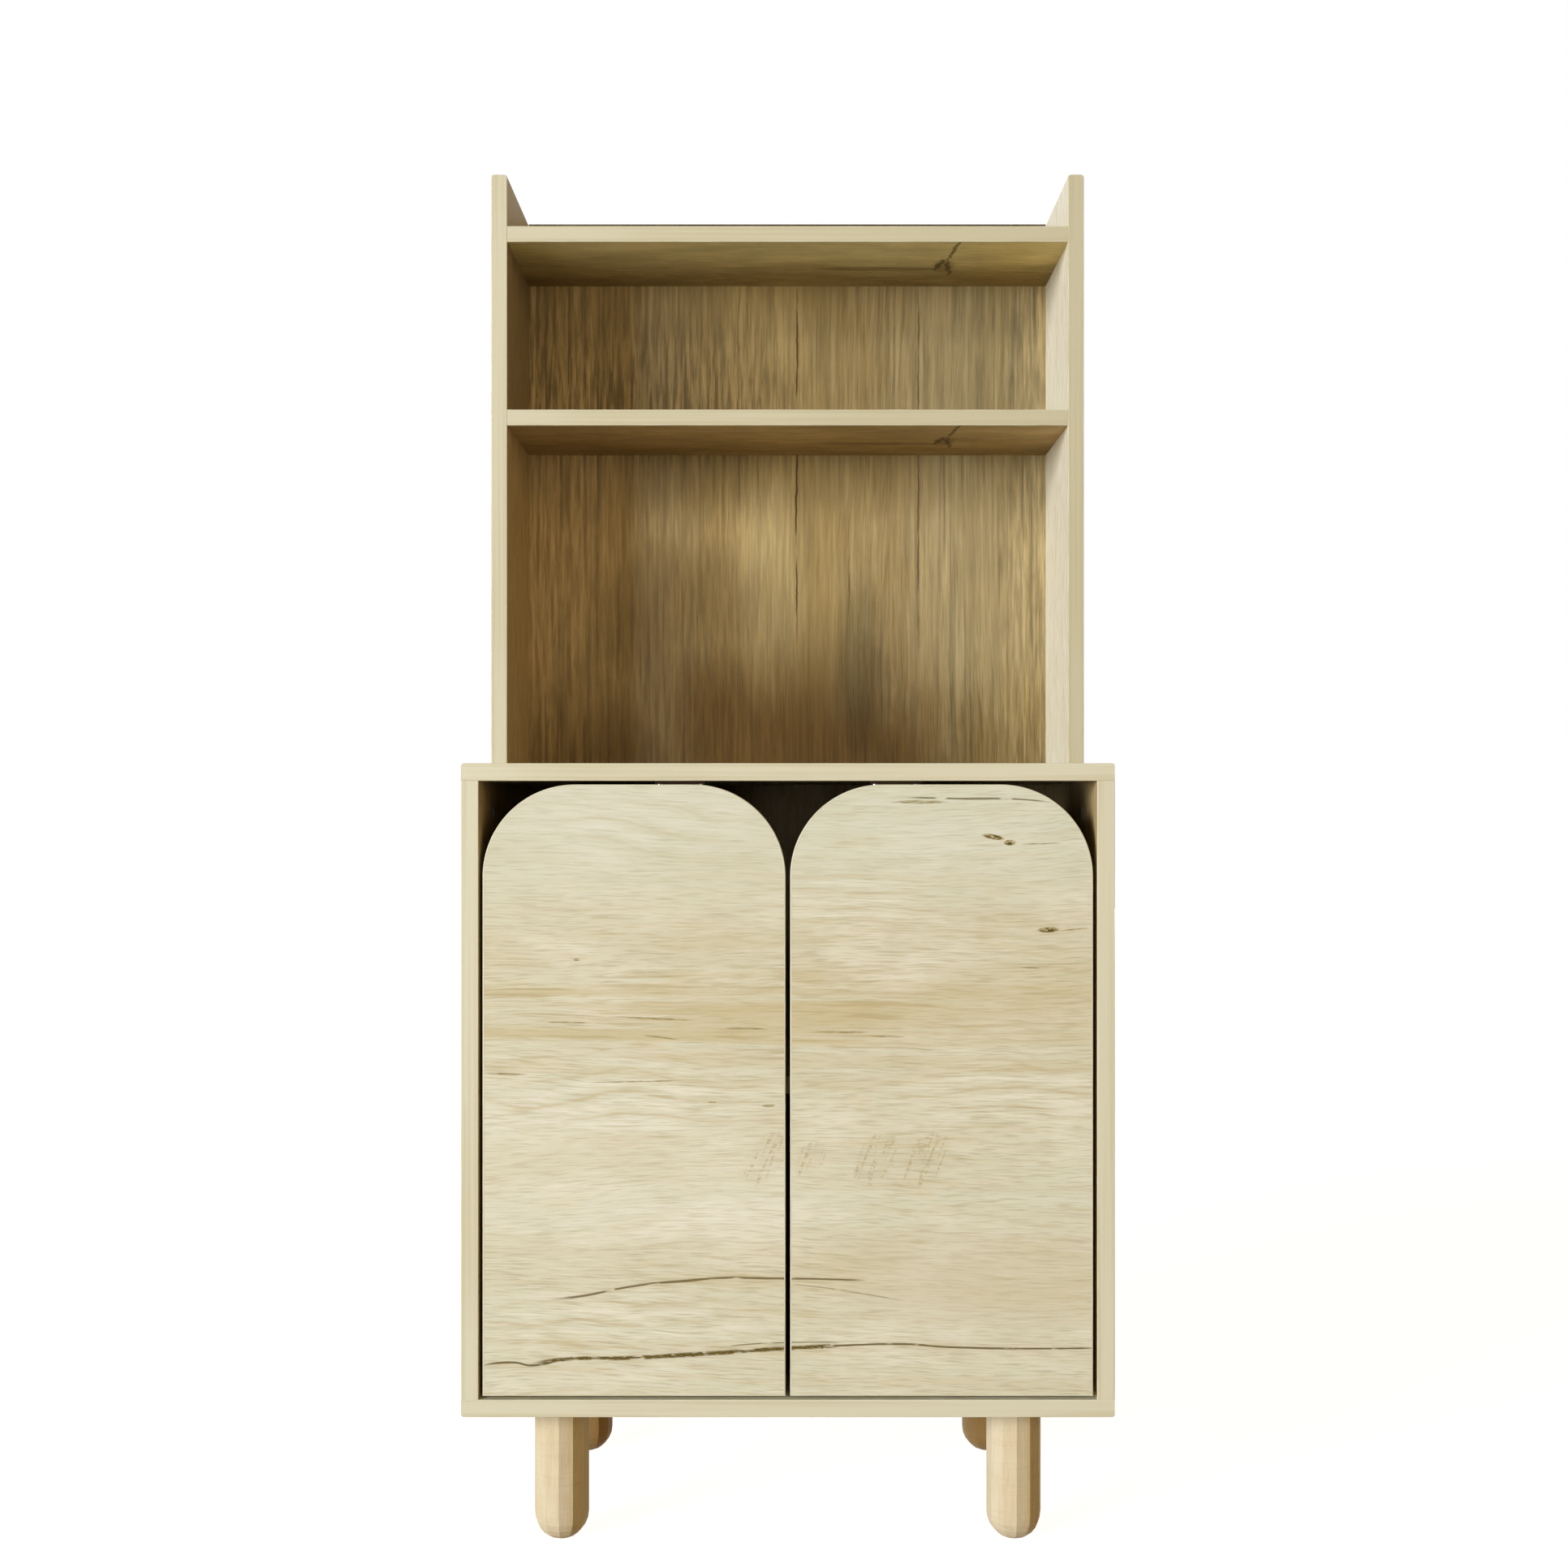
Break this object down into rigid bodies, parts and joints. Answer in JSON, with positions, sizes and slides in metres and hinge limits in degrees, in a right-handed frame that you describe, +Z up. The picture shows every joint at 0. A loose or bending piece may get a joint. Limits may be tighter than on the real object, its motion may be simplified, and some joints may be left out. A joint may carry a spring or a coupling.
{
  "type": "kitchen hutch",
  "caption": "Free-standing kitchen hutch: a cupboard with arched inset swing doors on faceted legs, under an open shelved hutch set back on its counter.",
  "frame": {"origin": "on the floor, under the middle of the base cabinet", "axes": "+Z up, +X to the right as seen from the front, the doors face -Y"},
  "size_m": [0.675, 0.4, 1.5],
  "materials": {
    "oak_board": "matte oak decor",
    "leg_wood": "clear matte lacquer",
    "thin_back": "matte oak decor",
    "dowel_wood": "raw beech",
    "zinc_steel": "zinc plated",
    "hinge_steel": "nickel plated",
    "cap_plastic": "oak-coloured caps",
    "catch_plastic": "dark brown",
    "magnet": "dark ferrite"
  },
  "bodies": {
    "carcass": {"base_left_side": "oak_board", "base_right_side": "oak_board", "base_top": "oak_board", "base_bottom": "oak_board", "inner_shelf": "oak_board", "hutch_left_side": "oak_board", "hutch_right_side": "oak_board", "hutch_top_shelf": "oak_board", "hutch_mid_shelf": "oak_board", "hutch_back": "oak_board", "front_left_leg": "leg_wood", "rear_left_leg": "leg_wood", "front_right_leg": "leg_wood", "rear_right_leg": "leg_wood", "base_back": "thin_back", "base_dowels": "dowel_wood", "hutch_dowels": "dowel_wood", "shelf_pins": "zinc_steel", "hutch_screw_caps": "cap_plastic", "cam_bolts": "zinc_steel", "cam_locks": "zinc_steel", "base_screws": "zinc_steel", "hutch_side_screws": "zinc_steel", "counter_screws": "zinc_steel", "leg_hanger_bolts": "zinc_steel", "leg_insert_nuts": "zinc_steel", "left_hinge_arms": "hinge_steel", "left_hinge_plates": "hinge_steel", "left_hinge_plate_screws": "zinc_steel", "left_hinge_arm_screws": "zinc_steel", "left_catch_housing": "catch_plastic", "left_catch_magnet": "magnet", "left_catch_screws": "zinc_steel", "right_hinge_arms": "hinge_steel", "right_hinge_plates": "hinge_steel", "right_hinge_plate_screws": "zinc_steel", "right_hinge_arm_screws": "zinc_steel", "right_catch_housing": "catch_plastic", "right_catch_magnet": "magnet", "right_catch_screws": "zinc_steel"},
    "left_door_leaf": {"left_door": "oak_board", "left_hinge_cups": "hinge_steel", "left_hinge_cup_screws": "zinc_steel", "left_hinge_pins": "hinge_steel", "left_strike_plate": "zinc_steel", "left_strike_screw": "zinc_steel"},
    "right_door_leaf": {"right_door": "oak_board", "right_hinge_cups": "hinge_steel", "right_hinge_cup_screws": "zinc_steel", "right_hinge_pins": "hinge_steel", "right_strike_plate": "zinc_steel", "right_strike_screw": "zinc_steel"}
  },
  "joints": [
    {"name": "left_door_hinge", "type": "hinge", "parent": "carcass", "child": "left_door_leaf", "pos_m": [-0.298, -0.1895, 0.4625], "axis": [0, 0, -1], "range_deg": [0, 100]},
    {"name": "right_door_hinge", "type": "hinge", "parent": "carcass", "child": "right_door_leaf", "pos_m": [0.298, -0.1895, 0.4625], "axis": [0, 0, 1], "range_deg": [0, 100]}
  ]
}
